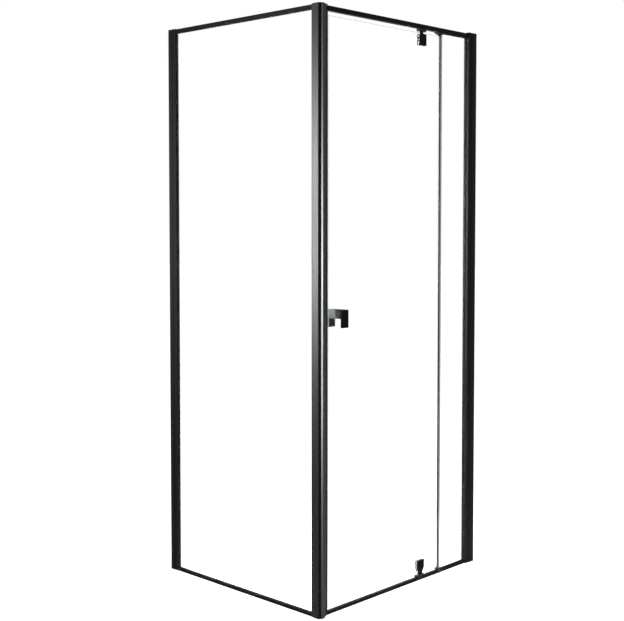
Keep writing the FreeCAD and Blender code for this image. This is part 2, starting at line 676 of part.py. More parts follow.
door_cap = new_body("door_channel_cap", ("0", "0", "frame_height"))
extrude(door_cap, "door_cap_plate", "XY_Plane", "0", "channel_cap_thick",
        [box_loop("door_mouth", "door_width", "-(door_channel_half)", "door_channel_half")])
round_edges(door_cap, "door_cap_rounds", "channel_cap_round",
            lambda point: near(point.z, "channel_cap_thick"))
door_core = "door_mouth + door_slot_deep + wall_thick"
extrude(door_cap, "door_cap_plug", "XY_Plane", "-(plug_deep)", "plug_deep",
        [box_loop(f"{door_core} + screw_head_high + 2 * wall_thick",
                  "door_mouth + door_stile_width - wall_thick - part_gap",
                  "wall_thick + part_gap - door_stile_half", "door_stile_half - wall_thick - part_gap")])
return_cap = new_body("return_channel_cap", ("0", "0", "frame_height"))
extrude(return_cap, "return_cap_plate", "XY_Plane", "0", "return_cap_thick",
        [box_loop("-(post_half)", "post_half", "return_wall_mouth", "return_width")])
round_edges(return_cap, "return_cap_rounds", "return_cap_round",
            lambda point: near(point.z, "return_cap_thick"))
return_core = "return_wall_mouth + return_slot_deep + wall_thick"
extrude(return_cap, "return_cap_plug", "XY_Plane", "-(plug_deep)", "plug_deep",
        [box_loop("part_gap - return_inner", "return_inner - part_gap",
                  f"{return_core} + screw_head_high + 2 * wall_thick",
                  "return_wall_mouth + return_wall_width - wall_thick - part_gap")])

front_seat = "return_mouth - return_slot_deep - wall_thick"
rail_seats = []
for side, rise in door_ports:
    rail_seats.append((("jamb_box_end - wall_thick", side, rise), "+X"))
    rail_seats.append(((door_core, side, rise), "-X"))
for side, rise in return_ports:
    rail_seats.append(((side, front_seat, rise), "+Y"))
    rail_seats.append(((side, return_core, rise), "-Y"))
group("rail_screws", [
    add_screw(f"rail_screw_{step}", seat, turn, "rail_screw_long")
    for step, (seat, turn) in enumerate(rail_seats)])

adjusters = []
covers = []
for step, rise in enumerate(adjuster_heights):
    for side, seat, turn in (("door", (door_adjuster, "door_channel_half", rise), "-Y"),
                             ("return", ("post_half", return_adjuster, rise), "-X")):
        adjusters.append(add_screw(f"{side}_adjuster_{step}", seat, turn, "adjuster_long"))
        outward = "+" + turn[1]
        shell = cylinder(f"{side}_cover_shell_{step}", seat, outward, "cover_radius", "cover_high")
        hollow = cylinder(f"{side}_cover_hollow_{step}", seat, outward, "cover_radius - cover_wall",
                          "cover_high - cover_wall / 2")
        cover = doc.addObject("Part::Cut", f"{side}_cover_{step}")
        cover.Base = shell
        cover.Tool = hollow
        covers.append(cover)
group("adjuster_screws", adjusters)
group("adjuster_covers", covers)


# Filler strips close the rail mouths over the door opening
filler_end = "strip_face + part_gap"
bush_cut = "bush_spigot_long / 2 + part_gap"
for label, mouth, sign in (("head_filler_strip", "head_low", "+"), ("sill_filler_strip", "sill_high", "-")):
    filler = new_body(label, ("0", "0", mouth), groups=True)
    outline = [
        ("part_gap - mouth_half", "0"), ("mouth_half - part_gap", "0"),
        ("mouth_half - part_gap", "wall_thick"), ("filler_side", "wall_thick"),
        ("filler_side", "wall_thick + filler_thick"), ("-(filler_side)", "wall_thick + filler_thick"),
        ("-(filler_side)", "wall_thick"), ("part_gap - mouth_half", "wall_thick"),
    ]
    extrude(filler, label + "_section", "YZ_Plane", "jamb_end + part_gap",
            f"{filler_end} - jamb_end - 2 * part_gap", [[(u, f"{sign}({v})") for u, v in outline]])
    cut(filler, label + "_bush_gap", "YZ_Plane", f"pivot_x - ({bush_cut})", f"2 * ({bush_cut})",
        [box_loop("-(rail_half)", "rail_half", "-(head_high)", "head_high")])


# Fixed inline panel
inline = new_body("inline_glass")
extrude(inline, "inline_pane", "XZ_Plane", "-(glass_thick) / 2", "glass_thick",
        [box_loop("inline_start", "inline_end", "inline_low", "inline_high")])
for label, mouth, sign, deep, proud in (
        ("inline_sill_bead", "sill_high", "+", "sill_slot_deep", "bead_sill_proud"),
        ("inline_head_bead", "head_low", "-", "head_slot_deep", "bead_head_proud")):
    bead = new_body(label, ("edge_seal_end", "0", mouth))
    half = [
        ("mouth_half - part_gap", f"-({deep} - part_gap)"), ("mouth_half - part_gap", "0"),
        ("bead_side", "0"), ("bead_side", f"{proud} - edge_bevel"), ("bead_side - edge_bevel", proud),
        ("glass_half", proud), ("glass_half", f"-({deep} - glass_edge_gap)"),
    ]
    mirrored = [(f"-({u})", v) for u, v in reversed(half)]
    extrude(bead, label + "_section", "YZ_Plane", "0", "door_mouth - edge_seal_end",
            [[(u, f"{sign}({v})") for u, v in half + mirrored]])
inline_run = "head_low - sill_high - bead_sill_proud - bead_head_proud"
inline_gasket = new_body("inline_stile_gasket", ("door_mouth", "0", "sill_high + bead_sill_proud"))
extrude(inline_gasket, "inline_gasket_section", "XY_Plane", "0", inline_run,
        gasket_loops("gasket_outer", "door_slot_deep", along_x("0", "-")))

clips = new_body("inline_edge_clips", groups=True)
clip_outline = [
    ("strip_face", "-(clip_half)"), ("edge_seal_end", "-(clip_half)"), ("edge_seal_end", "-(glass_half)"),
    ("inline_start", "-(glass_half)"), ("inline_start", "glass_half"), ("edge_seal_end", "glass_half"),
    ("edge_seal_end", "clip_half"), ("strip_face", "clip_half"),
]
extrude(clips, "sill_clip", "XY_Plane", "sill_high", "clip_high", [clip_outline])
extrude(clips, "sill_clip_apron", "XY_Plane", "0", "sill_high",
        [box_loop("strip_face", "edge_seal_end", "-(clip_half)", "-(rail_half)")])
extrude(clips, "head_clip", "XY_Plane", "head_low - clip_high", "clip_high", [clip_outline])
extrude(clips, "head_clip_wedge", "XZ_Plane", "-(clip_half)", "2 * clip_half", [[
    ("strip_face - clip_wedge", "head_low"), ("strip_face", "head_low - clip_high"),
    ("strip_face", "head_low"),
]])

edge_run = "head_low - sill_high - 2 * clip_high"
edge_seal = new_body("inline_edge_seal", ("0", "0", "sill_high + clip_high"))
seal_side = "glass_half + seal_thick"
extrude(edge_seal, "edge_seal_section", "XY_Plane", "0", edge_run, [[
    ("edge_seal_start", f"-({seal_side})"), ("edge_seal_end", f"-({seal_side})"),
    ("edge_seal_end", "-(glass_half)"), ("inline_start", "-(glass_half)"),
    ("inline_start", "glass_half"), ("edge_seal_end", "glass_half"),
    ("edge_seal_end", seal_side), ("edge_seal_start", seal_side),
]])
edge_strip = new_body("inline_edge_strip", ("0", "0", "sill_high + clip_high"))
extrude(edge_strip, "edge_strip_section", "XY_Plane", "0", edge_run, [[
    ("strip_face - fin_reach", "-(strip_depth) / 2"), ("edge_seal_start", "-(strip_depth) / 2"),
    ("edge_seal_start", "strip_depth / 2"), ("strip_face", "strip_depth / 2"),
    ("strip_face", "fin_thick - strip_depth / 2"), ("strip_face - fin_reach", "fin_thick - strip_depth / 2"),
]])


# Door leaf glass with pivot notches and the pull hole
leaf = new_body("door_glass")
extrude(leaf, "door_pane", "XZ_Plane", "-(glass_thick) / 2", "glass_thick",
        [box_loop("door_glass_start", "door_glass_end", "glass_low", "door_glass_high")])
cut(leaf, "pivot_notches", "XZ_Plane", "-(glass_thick)", "2 * glass_thick", [
    box_loop("pivot_x - notch_half", "pivot_x + notch_half", "core_top_low - notch_ease", "head_low"),
    box_loop("pivot_x - notch_half", "pivot_x + notch_half", "0", "core_low_top + notch_ease"),
])
cut(leaf, "pull_hole", "XZ_Plane", "-(glass_thick)", "2 * glass_thick",
    [[("stud_x", "stud_z", "sleeve_radius + sleeve_gap")]])

leaf_run = "door_glass_high - glass_low"
strike_seal = new_body("door_strike_seal", ("0", "0", "glass_low"))
extrude(strike_seal, "strike_seal_section", "XY_Plane", "0", leaf_run, [
    [
        ("seal_face", f"-({seal_side})"), ("door_glass_start + seal_leg", f"-({seal_side})"),
        ("door_glass_start + seal_leg", "-(glass_half)"), ("door_glass_start - glass_ease", "-(glass_half)"),
        ("door_glass_start - glass_ease", "glass_half"), ("door_glass_start + seal_leg", "glass_half"),
        ("door_glass_start + seal_leg", seal_side), ("seal_face", seal_side),
    ],
    box_loop("seal_face + (seal_head - seal_magnet_thick) / 2",
             "seal_face + (seal_head + seal_magnet_thick) / 2", "-(magnet_wide / 2)", "magnet_wide / 2"),
])
strike_magnet = new_body("door_strike_magnet", ("0", "0", "glass_low"))
extrude(strike_magnet, "strike_magnet_section", "XY_Plane", "0", leaf_run, [
    box_loop("seal_face + (seal_head - seal_magnet_thick) / 2 + part_gap",
             "seal_face + (seal_head + seal_magnet_thick) / 2 - part_gap",
             "part_gap - magnet_wide / 2", "magnet_wide / 2 - part_gap")])

drip = new_body("door_drip_seal", groups=True)
drip_side = "glass_half + drip_thick"
drip_start = "door_glass_start + seal_leg + part_gap"
drip_section = [
    (f"-({drip_side})", "glass_low + drip_leg"), (f"-({drip_side})", "glass_low - drip_thick"),
    ("-(drip_thick) / 2", "glass_low - drip_thick"), ("drip_thick / 2", "glass_low - drip_fin"),
    ("drip_thick * 3 / 2", "glass_low - drip_fin"), ("drip_thick / 2", "glass_low - drip_thick"),
    (drip_side, "glass_low - drip_thick"), (drip_side, "glass_low + drip_leg"),
    ("glass_half", "glass_low + drip_leg"), ("glass_half", "glass_low - glass_ease"),
    ("-(glass_half)", "glass_low - glass_ease"), ("-(glass_half)", "glass_low + drip_leg"),
]
drip_end = "strip_face - fin_reach - part_gap"
extrude(drip, "drip_section", "YZ_Plane", drip_start, f"{drip_end} - ({drip_start})", [drip_section])
cut(drip, "drip_pivot_gap", "YZ_Plane", "pivot_x - drip_pivot_gap", "2 * drip_pivot_gap",
    [box_loop("-(rail_half)", "rail_half", "0", "2 * glass_low")])


# Pivot clamps: two plates on pads, a core in the glass notch, screws and a pin in a bush
plate_half = "clamp_wide / 2"
top_outline = box_loop(f"-({plate_half})", plate_half, "clamp_top_low", "clamp_top_end")
low_outline = [
    ("-(stem_long) / 2", "clamp_low_end"), ("stem_long / 2", "clamp_low_end"),
    (plate_half, "clamp_low_end + clamp_low_taper"), (plate_half, "clamp_low_top"),
    (f"-({plate_half})", "clamp_low_top"), (f"-({plate_half})", "clamp_low_end + clamp_low_taper"),
]
core_half = "core_wide / 2"
top_core = box_loop(f"-({core_half})", core_half, "core_top_low", "clamp_top_end")
low_core = box_loop(f"-({core_half})", core_half, "clamp_low_end", "core_low_top")
top_pad = [
    (f"-({plate_half})", "clamp_top_low"), (plate_half, "clamp_top_low"), (plate_half, "clamp_top_end"),
    ("notch_half", "clamp_top_end"), ("notch_half", "core_top_low - notch_ease"),
    ("-(notch_half)", "core_top_low - notch_ease"), ("-(notch_half)", "clamp_top_end"),
    (f"-({plate_half})", "clamp_top_end"),
]
low_pads = [[
    (f"-({plate_half})", "clamp_low_top"), (plate_half, "clamp_low_top"), (plate_half, low_edge),
    ("notch_half", low_edge), ("notch_half", "core_low_top + notch_ease"),
    ("-(notch_half)", "core_low_top + notch_ease"), ("-(notch_half)", low_edge),
    (f"-({plate_half})", low_edge),
] for low_edge in ("clamp_low_end + clamp_low_taper", "clamp_low_end")]


def make_clamp(prefix, outline, core_outline, outer_pad, inner_pad, screw_rise, stem_start, stem_loop,
               pin_start, bore_start):
    place = ("pivot_x", "0", "0")
    screws = [("-(clamp_screw_side)", screw_rise), ("clamp_screw_side", screw_rise)]
    outer = new_body(f"{prefix}_outer_plate", place)
    extrude(outer, f"{prefix}_outer_section", "XZ_Plane", "-(plate_outer)", "clamp_plate_thick", [outline])
    round_edges(outer, f"{prefix}_outer_rounds", "corner_round",
                lambda point: near(point.y, "-(plate_outer)"))
    cut(outer, f"{prefix}_outer_threads", "XZ_Plane", "-(plate_face + clamp_screw_hold)", "clamp_screw_hold",
        [[(side, rise, "clamp_screw_radius + part_gap")] for side, rise in screws])
    inner = new_body(f"{prefix}_inner_plate", place)
    extrude(inner, f"{prefix}_inner_section", "XZ_Plane", "plate_face", "clamp_plate_thick", [outline])
    round_edges(inner, f"{prefix}_inner_rounds", "corner_round",
                lambda point: near(point.y, "plate_outer"))
    cut(inner, f"{prefix}_inner_holes", "XZ_Plane", "plate_face", "clamp_plate_thick",
        [[(side, rise, "clamp_screw_radius + part_gap")] for side, rise in screws])
    cut(inner, f"{prefix}_inner_recess", "XZ_Plane", "plate_outer - clamp_head_deep", "clamp_head_deep",
        [[(side, rise, "clamp_head_radius + part_gap")] for side, rise in screws])
    core = new_body(f"{prefix}_core", place)
    extrude(core, f"{prefix}_core_block", "XZ_Plane", "-(plate_face)", "2 * plate_face", [core_outline])
    extrude(core, f"{prefix}_core_stem", "XY_Plane", stem_start, f"{prefix}_stem", [stem_loop])
    cut(core, f"{prefix}_core_bore", "XY_Plane", bore_start, f"pin_in_core + {prefix}_stem",
        [[("0", "0", "pin_radius + pin_gap")]])
    cut(core, f"{prefix}_core_screw_holes", "XZ_Plane", "-(plate_face)", "2 * plate_face",
        [[(side, rise, "clamp_screw_radius + part_gap")] for side, rise in screws])
    pads = new_body(f"{prefix}_pads", place, groups=True)
    extrude(pads, f"{prefix}_outer_pad", "XZ_Plane", "-(plate_face)", "clamp_pad_thick", [outer_pad])
    extrude(pads, f"{prefix}_inner_pad", "XZ_Plane", "plate_face - clamp_pad_thick", "clamp_pad_thick",
            [inner_pad])
    group(f"{prefix}_screws", [
        add_screw(f"{prefix}_screw_{step}",
                  (f"pivot_x + {side}", "plate_outer - clamp_head_deep", rise), "-Y",
                  "plate_outer - clamp_head_deep + plate_face + clamp_screw_hold - part_gap",
                  "clamp_screw_radius", "clamp_head_radius", "clamp_head_deep - part_gap")
        for step, (side, rise) in enumerate(screws)])
    pin = new_body(f"{prefix}_pin", place)
    extrude(pin, f"{prefix}_pin_rod", "XY_Plane", pin_start,
            f"pin_in_core + {prefix}_stem + turn_gap + pin_engage", [[("0", "0", "pin_radius")]])


stem_block = box_loop("-(stem_long) / 2", "stem_long / 2", "-(stem_deep) / 2", "stem_deep / 2")
make_clamp("clamp_top", top_outline, top_core, top_pad, top_pad, "clamp_top_end - clamp_screw_in",
           "clamp_top_end", [("0", "0", "stem_radius")],
           "clamp_top_end - pin_in_core", "clamp_top_end - pin_in_core")
make_clamp("clamp_low", low_outline, low_core, *low_pads, "clamp_low_end + clamp_screw_in",
           "stem_low_end", stem_block, "pin_low_end", "stem_low_end")

bush_screws = []
for label, face, seat, sign, high, deep in (
        ("top_pivot_bush", "bush_top_face", "head_low", "+", "bush_top_high", "head_slot_deep"),
        ("bottom_pivot_bush", "bush_low_face", "sill_high", "-", "bush_low_high", "sill_slot_deep")):
    bush = new_body(label, ("pivot_x", "0", seat))
    low = f"-({high})" if sign == "+" else "0"
    extrude(bush, label + "_collar", "XY_Plane", low, high,
            [box_loop("-(bush_long) / 2", "bush_long / 2", "-(bush_deep) / 2", "bush_deep / 2")])
    upright = [(u, v) for u in ("-(bush_long) / 2", "bush_long / 2")
               for v in ("-(bush_deep) / 2", "bush_deep / 2")]
    round_edges(bush, label + "_rounds", "bush_deep / 4",
                lambda point: any(near(point.x, u) and near(point.y, v) for u, v in upright))
    spigot_low = "0" if sign == "+" else f"-({deep} - part_gap)"
    extrude(bush, label + "_spigot", "XY_Plane", spigot_low, f"{deep} - part_gap",
            [box_loop("-(bush_spigot_long) / 2", "bush_spigot_long / 2",
                      "-(bush_spigot_deep) / 2", "bush_spigot_deep / 2")])
    bore_low = low if sign == "+" else f"{high} - pin_engage - pin_end_gap"
    cut(bush, label + "_bore", "XY_Plane", bore_low, "pin_engage + pin_end_gap",
        [[("0", "0", "pin_radius + pin_gap")]])
    places = [f"{way}bush_screw_side" for way in "-+"]
    cut(bush, label + "_screw_holes", "XY_Plane", f"-({deep}) - {high}", f"2 * ({deep} + {high})",
        [[(place, "0", "screw_hole_radius")] for place in places])
    recess_low = low if sign == "+" else f"{high} - screw_head_high - part_gap"
    cut(bush, label + "_screw_recess", "XY_Plane", recess_low, "screw_head_high + part_gap",
        [[(place, "0", "screw_head_radius + part_gap")] for place in places])
    back = f"{face} {sign} (screw_head_high + part_gap)"
    bush_screws += [add_screw(f"{label}_screw_{step}", (place, "0", back), f"{sign}Z",
                              f"{high} - screw_head_high + {deep} + wall_thick")
                    for step, place in enumerate(bush_screw_places)]
group("bush_screws", bush_screws)


# Pulls: an L on each side of the glass, joined by one stud
for label, sign in (("outer_pull", "-"), ("inner_pull", "+")):
    pull = new_body(label, ("pull_x", "0", "0"))
    outline = [
        ("pull_face", "pull_top"), ("pull_reach", "pull_top"), ("pull_reach", "pull_low"),
        ("pull_reach - pull_plate_thick", "pull_low"), ("pull_reach - pull_plate_thick", "pull_web_low"),
        ("pull_face", "pull_web_low"),
    ]
    extrude(pull, label + "_section", "YZ_Plane", "0", "pull_wide",
            [[(f"{sign}({u})", v) for u, v in outline]])
    round_edges(pull, label + "_rounds", "pull_round",
                lambda point: near(abs(point.y), "pull_reach") or near(point.z, "pull_low"))
    bore_start = "-(stud_half + stud_gap)" if sign == "-" else "pull_face"
    cut(pull, label + "_stud_bore", "XZ_Plane", bore_start, "stud_half + stud_gap - pull_face",
        [[("pull_wide / 2", "stud_z", "stud_radius + stud_gap")]])
    cut(pull, label + "_grub_bore", "XY_Plane", "pull_web_low", "stud_z - pull_web_low",
        [[("pull_wide / 2", f"{sign}((pull_face + stud_half) / 2)", "grub_radius + stud_gap")]])

pull_pads = new_body("pull_pads", ("pull_x", "0", "0"), groups=True)
pad_loops = [
    box_loop("pull_pad_margin", "pull_wide - pull_pad_margin", "pull_web_low + pull_pad_margin",
             "pull_top - pull_pad_margin"),
    [("pull_wide / 2", "stud_z", "sleeve_radius + sleeve_gap")],
]
extrude(pull_pads, "outer_pull_pad", "XZ_Plane", "-(pull_face)", "pull_pad_thick", pad_loops)
extrude(pull_pads, "inner_pull_pad", "XZ_Plane", "pull_face - pull_pad_thick", "pull_pad_thick", pad_loops)
sleeve = new_body("pull_sleeve", ("stud_x", "0", "0"))
extrude(sleeve, "sleeve_ring", "XZ_Plane", "-(pull_face)", "2 * pull_face",
        [[("0", "stud_z", "sleeve_radius")], [("0", "stud_z", "stud_radius + stud_gap")]])
stud = new_body("pull_stud", ("stud_x", "0", "0"))
extrude(stud, "stud_rod", "XZ_Plane", "-(stud_half)", "2 * stud_half", [[("0", "stud_z", "stud_radius")]])
grubs = []
for label, sign in (("outer", "-"), ("inner", "+")):
    place = ("stud_x", f"{sign}(pull_face + stud_half) / 2", "stud_z - stud_radius - grub_long")
    rod = cylinder(f"{label}_grub_rod", place, "+Z", "grub_radius", "grub_long")
    socket = doc.addObject("Part::Prism", f"{label}_grub_socket")
    socket.Polygon = 6
    bind(socket, "Circumradius", "grub_radius / 2")
    bind(socket, "Height", "screw_socket_deep")
    bind_place(socket, place)
    grub = doc.addObject("Part::Cut", f"{label}_grub")
    grub.Base = rod
    grub.Tool = socket
    grubs.append(grub)
group("pull_grub_screws", grubs)

doc.recompute()
for item in doc.Objects:
    if "Invalid" in item.State or "Error" in item.State:
        raise RuntimeError(f"{item.Label} failed: {item.State}")
for piece in pieces:
    if piece.Shape.isNull() or not piece.Shape.isValid():
        raise RuntimeError(f"{piece.Label} has no valid shape")

os.makedirs("parts", exist_ok=True)
for piece in pieces:
    piece.Shape.exportStep(f"parts/{piece.Label}.step")
    box = piece.Shape.BoundBox
    spans = [f"{low:.2f} to {high:.2f}" for low, high in (
        (box.XMin, box.XMax), (box.YMin, box.YMax), (box.ZMin, box.ZMax))]
    print(f"{piece.Label}: {len(piece.Shape.Solids)} solid, x {spans[0]}, y {spans[1]}, z {spans[2]}")
print(len(pieces), "nodes")
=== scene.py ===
import json
import math

import bmesh
import bpy
from mathutils import Matrix, Vector

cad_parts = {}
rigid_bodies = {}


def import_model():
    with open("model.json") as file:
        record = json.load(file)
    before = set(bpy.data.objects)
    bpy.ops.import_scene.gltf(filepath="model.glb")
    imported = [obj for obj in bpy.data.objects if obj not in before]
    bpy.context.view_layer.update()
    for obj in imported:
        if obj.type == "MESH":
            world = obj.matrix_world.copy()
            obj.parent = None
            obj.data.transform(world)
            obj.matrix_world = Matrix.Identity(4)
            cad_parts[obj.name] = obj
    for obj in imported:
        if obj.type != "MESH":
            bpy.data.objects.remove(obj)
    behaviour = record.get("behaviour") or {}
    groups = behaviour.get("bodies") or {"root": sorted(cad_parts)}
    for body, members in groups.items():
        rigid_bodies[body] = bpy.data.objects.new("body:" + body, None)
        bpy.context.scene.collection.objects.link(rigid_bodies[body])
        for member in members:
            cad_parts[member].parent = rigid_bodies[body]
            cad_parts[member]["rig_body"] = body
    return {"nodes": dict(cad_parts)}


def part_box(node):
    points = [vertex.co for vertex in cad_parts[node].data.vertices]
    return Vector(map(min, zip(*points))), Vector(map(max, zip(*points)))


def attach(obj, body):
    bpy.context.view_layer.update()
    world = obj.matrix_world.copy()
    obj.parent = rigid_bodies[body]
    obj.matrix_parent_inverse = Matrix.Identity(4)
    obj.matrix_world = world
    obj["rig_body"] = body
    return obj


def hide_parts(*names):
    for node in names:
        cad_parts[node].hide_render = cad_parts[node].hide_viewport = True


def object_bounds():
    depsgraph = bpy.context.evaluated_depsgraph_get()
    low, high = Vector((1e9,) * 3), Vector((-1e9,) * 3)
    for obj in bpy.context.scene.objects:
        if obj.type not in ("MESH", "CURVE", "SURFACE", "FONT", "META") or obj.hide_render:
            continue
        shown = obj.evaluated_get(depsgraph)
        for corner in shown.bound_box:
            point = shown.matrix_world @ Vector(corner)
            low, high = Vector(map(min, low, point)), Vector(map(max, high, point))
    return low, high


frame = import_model()
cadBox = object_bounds()
scene = bpy.context.scene
mm = 0.001
print("frame loaded:", len(frame["nodes"]), "nodes")


# Colours and nodes

def linear(code):       # sRGB hex to linear
    channels = [int(code[i:i + 2], 16) / 255 for i in (1, 3, 5)]
    return [c / 12.92 if c <= 0.04045 else ((c + 0.055) / 1.055) ** 2.4 for c in channels] + [1.0]


def addNode(tree, kind, settings, links=()):        # a setting is an option of the node, or else an input
    node = tree.nodes.new("ShaderNode" + kind)
    for name, value in settings.items():
        if isinstance(name, str) and hasattr(node, name):
            setattr(node, name, value)
        else:
            node.inputs[name].default_value = value
    for name, source in links:
        tree.links.new(source, node.inputs[name])
    return node


def newMaterial(name):
    material = bpy.data.materials.new(name)
    material.use_nodes = True
    tree = material.node_tree
    tree.nodes.clear()
    return material, tree


# A Mix node has its two colours on inputs 6 and 7, and gives the mixed one on output 2

noiseLow, noiseHigh = 0.3, 0.7      # nearly all values of a noise lie between these


# Satin powder coat on extruded aluminium: a near-black skin with a fine orange peel, and faint lines from
# the die that run along the bar and break up the reflection of the soft light

extrusionCoat = {
    "black": "#090909", "blackHigh": "#0f0f10",
    "peelSize": 2.4, "peelHeight": 0.03,        # mm, drawn coarser than the real 0.4 mm so that it shows
    "peelStrength": 0.3,
    "lineSpacing": 3.2, "lineLength": 260.0,    # mm, the real die lines are under 1 mm apart
}
coatShine = {       # strongest on the jamb, and weakest on the rails
    "corner": {"gloss": 0.10, "rough": (0.34, 0.46)},
    "jamb": {"gloss": 0.26, "rough": (0.27, 0.35)},
    "wall": {"gloss": 0.04, "rough": (0.38, 0.50)},
    "rail": {"gloss": 0.03, "rough": (0.40, 0.52)},
}


def powderCoat(name, along, shine):
    look = extrusionCoat
    material, tree = newMaterial(name)
    place = addNode(tree, "TexCoord", {})
    across, length = 1000 / look["lineSpacing"], 1000 / look["lineLength"]
    stretch = [length if axis == along else across for axis in "XYZ"]
    lined = addNode(tree, "Mapping", {"Scale": stretch}, [("Vector", place.outputs["Object"])])
    lines = addNode(tree, "TexNoise", {"Scale": 1.0, "Detail": 2.0, "Roughness": 0.6},
                    [("Vector", lined.outputs["Vector"])])
    peel = addNode(tree, "TexNoise", {"Scale": 1000 / look["peelSize"], "Detail": 1.0},
                   [("Vector", place.outputs["Object"])])
    smoothest, roughest = shine["rough"]
    rough = addNode(tree, "MapRange", {"From Min": noiseLow, "From Max": noiseHigh, "To Min": smoothest,
                                       "To Max": roughest}, [("Value", lines.outputs["Fac"])])
    black, blackHigh = linear(look["black"]), linear(look["blackHigh"])
    colour = addNode(tree, "Mix", {"data_type": "RGBA", 6: black, 7: blackHigh}, [(0, lines.outputs["Fac"])])
    bump = addNode(tree, "Bump", {"Strength": look["peelStrength"], "Distance": look["peelHeight"] * mm},
                   [("Height", peel.outputs["Fac"])])
    shader = addNode(tree, "BsdfPrincipled", {"Specular IOR Level": shine["gloss"]}, [
        ("Base Color", colour.outputs[2]), ("Roughness", rough.outputs["Result"]),
        ("Normal", bump.outputs["Normal"])])
    addNode(tree, "OutputMaterial", {}, [("Surface", shader.outputs["BSDF"])])
    return material


# Grained finishes of the moulded, cast and rubbery pieces: a mottled colour, a grain, a spread of roughness

grains = {      # grain, patch and height in mm
    # Powder coat on die-cast zinc: the same satin black, on a skin that holds a little more texture
    "coatedZinc": {"dark": "#0b0b0c", "light": "#141415", "grain": 0.9, "patch": 14.0, "height": 0.02,
                   "rough": (0.46, 0.58), "gloss": 0.02},
    # The same coat on polished zinc, which mirrors the lamps more strongly
    "polishedZinc": {"dark": "#0d0d0e", "light": "#161617", "grain": 1.4, "patch": 20.0, "height": 0.01,
                     "rough": (0.28, 0.36), "gloss": 0.18},
    # Extruded EPDM: dead matt and slightly brown beside the coat
    "epdm": {"dark": "#0b0a0a", "light": "#121111", "grain": 0.5, "patch": 9.0, "height": 0.02,
             "rough": (0.62, 0.78), "gloss": 0.12},
    # Silicone pads: light grey and waxy
    "silicone": {"dark": "#8f9192", "light": "#a3a5a6", "grain": 0.6, "patch": 10.0, "height": 0.01,
                 "rough": (0.50, 0.62), "gloss": 0.4},
    # Extruded PVC: smoother than the coat, with a dull shine
    "blackPvc": {"dark": "#080809", "light": "#0d0d0e", "grain": 0.7, "patch": 12.0, "height": 0.01,
                 "rough": (0.38, 0.5), "gloss": 0.1},
    # Moulded nylon: a spark-eroded grain that scatters highlights
    "nylon": {"dark": "#0a0a0b", "light": "#101011", "grain": 0.45, "patch": 8.0, "height": 0.03,
              "rough": (0.46, 0.6), "gloss": 0.12},
    # Bonded ferrite strip: dark brown-grey and dusty
    "ferrite": {"dark": "#1c1a19", "light": "#262322", "grain": 0.4, "patch": 7.0, "height": 0.02,
                "rough": (0.60, 0.75), "gloss": 0.2},
}
grainStrength = 0.4


def grained(name, look):
    material, tree = newMaterial(name)
    place = addNode(tree, "TexCoord", {})
    pits = addNode(tree, "TexNoise", {"Scale": 1000 / look["grain"], "Detail": 3.0, "Roughness": 0.55},
                   [("Vector", place.outputs["Object"])])
    clouds = addNode(tree, "TexNoise", {"Scale": 1000 / look["patch"], "Detail": 2.0},
                     [("Vector", place.outputs["Object"])])
    dark, light = linear(look["dark"]), linear(look["light"])
    colour = addNode(tree, "Mix", {"data_type": "RGBA", 6: dark, 7: light}, [(0, clouds.outputs["Fac"])])
    smoothest, roughest = look["rough"]
    spread = addNode(tree, "MapRange", {"From Min": noiseLow, "From Max": noiseHigh, "To Min": smoothest,
                                        "To Max": roughest}, [("Value", clouds.outputs["Fac"])])
    bump = addNode(tree, "Bump", {"Strength": grainStrength, "Distance": look["height"] * mm},
                   [("Height", pits.outputs["Fac"])])
    shader = addNode(tree, "BsdfPrincipled", {"Specular IOR Level": look["gloss"]}, [
        ("Base Color", colour.outputs[2]), ("Roughness", spread.outputs["Result"]),
        ("Normal", bump.outputs["Normal"])])
    addNode(tree, "OutputMaterial", {}, [("Surface", shader.outputs["BSDF"])])
    return material


# Toughened soda-lime glass: clear faces that all but vanish on white, and finely ground edges with a
# trace of green, because the eye looks along the sheet there

paneLook = {
    "face": "#ffffff", "edge": "#f3faf7", "ior": 1.5,
    "shade": "#f6faf8",     # tints the light that falls through the pane
    "edgeRough": 0.06, "edgeRoughSpread": 0.1, "grit": 0.8,     # grit in mm, drawn coarser than the real one
    "faceShare": 0.7,       # with less of its normal than this along the sheet's axis, a surface is an edge
}


def toughenedGlass(name, faceAxis):
    look = paneLook
    material, tree = newMaterial(name)
    place = addNode(tree, "TexCoord", {})
    split = addNode(tree, "SeparateXYZ", {}, [(0, place.outputs["Normal"])])
    facing = addNode(tree, "Math", {"operation": "ABSOLUTE"}, [(0, split.outputs[faceAxis])])
    edge = addNode(tree, "Math", {"operation": "LESS_THAN", 1: look["faceShare"]}, [(0, facing.outputs[0])])
    grit = addNode(tree, "TexNoise", {"Scale": 1000 / look["grit"], "Detail": 2.0},
                   [("Vector", place.outputs["Object"])])
    ground = addNode(tree, "Math", {"operation": "MULTIPLY_ADD", 1: look["edgeRoughSpread"],
                                    2: look["edgeRough"]}, [(0, grit.outputs["Fac"])])
    rough = addNode(tree, "Math", {"operation": "MULTIPLY"}, [(0, edge.outputs[0]), (1, ground.outputs[0])])
    face, green = linear(look["face"]), linear(look["edge"])
    tint = addNode(tree, "Mix", {"data_type": "RGBA", 6: face, 7: green}, [(0, edge.outputs[0])])
    body = addNode(tree, "BsdfPrincipled", {"Transmission Weight": 1.0, "IOR": look["ior"]}, [
        ("Base Color", tint.outputs[2]), ("Roughness", rough.outputs[0])])
    clear = addNode(tree, "BsdfTransparent", {"Color": linear(look["shade"])})
    path = addNode(tree, "LightPath", {})
    shown = addNode(tree, "MixShader", {}, [
        (0, path.outputs["Is Shadow Ray"]), (1, body.outputs["BSDF"]), (2, clear.outputs["BSDF"])])
    addNode(tree, "OutputMaterial", {}, [("Surface", shown.outputs["Shader"])])
    return material


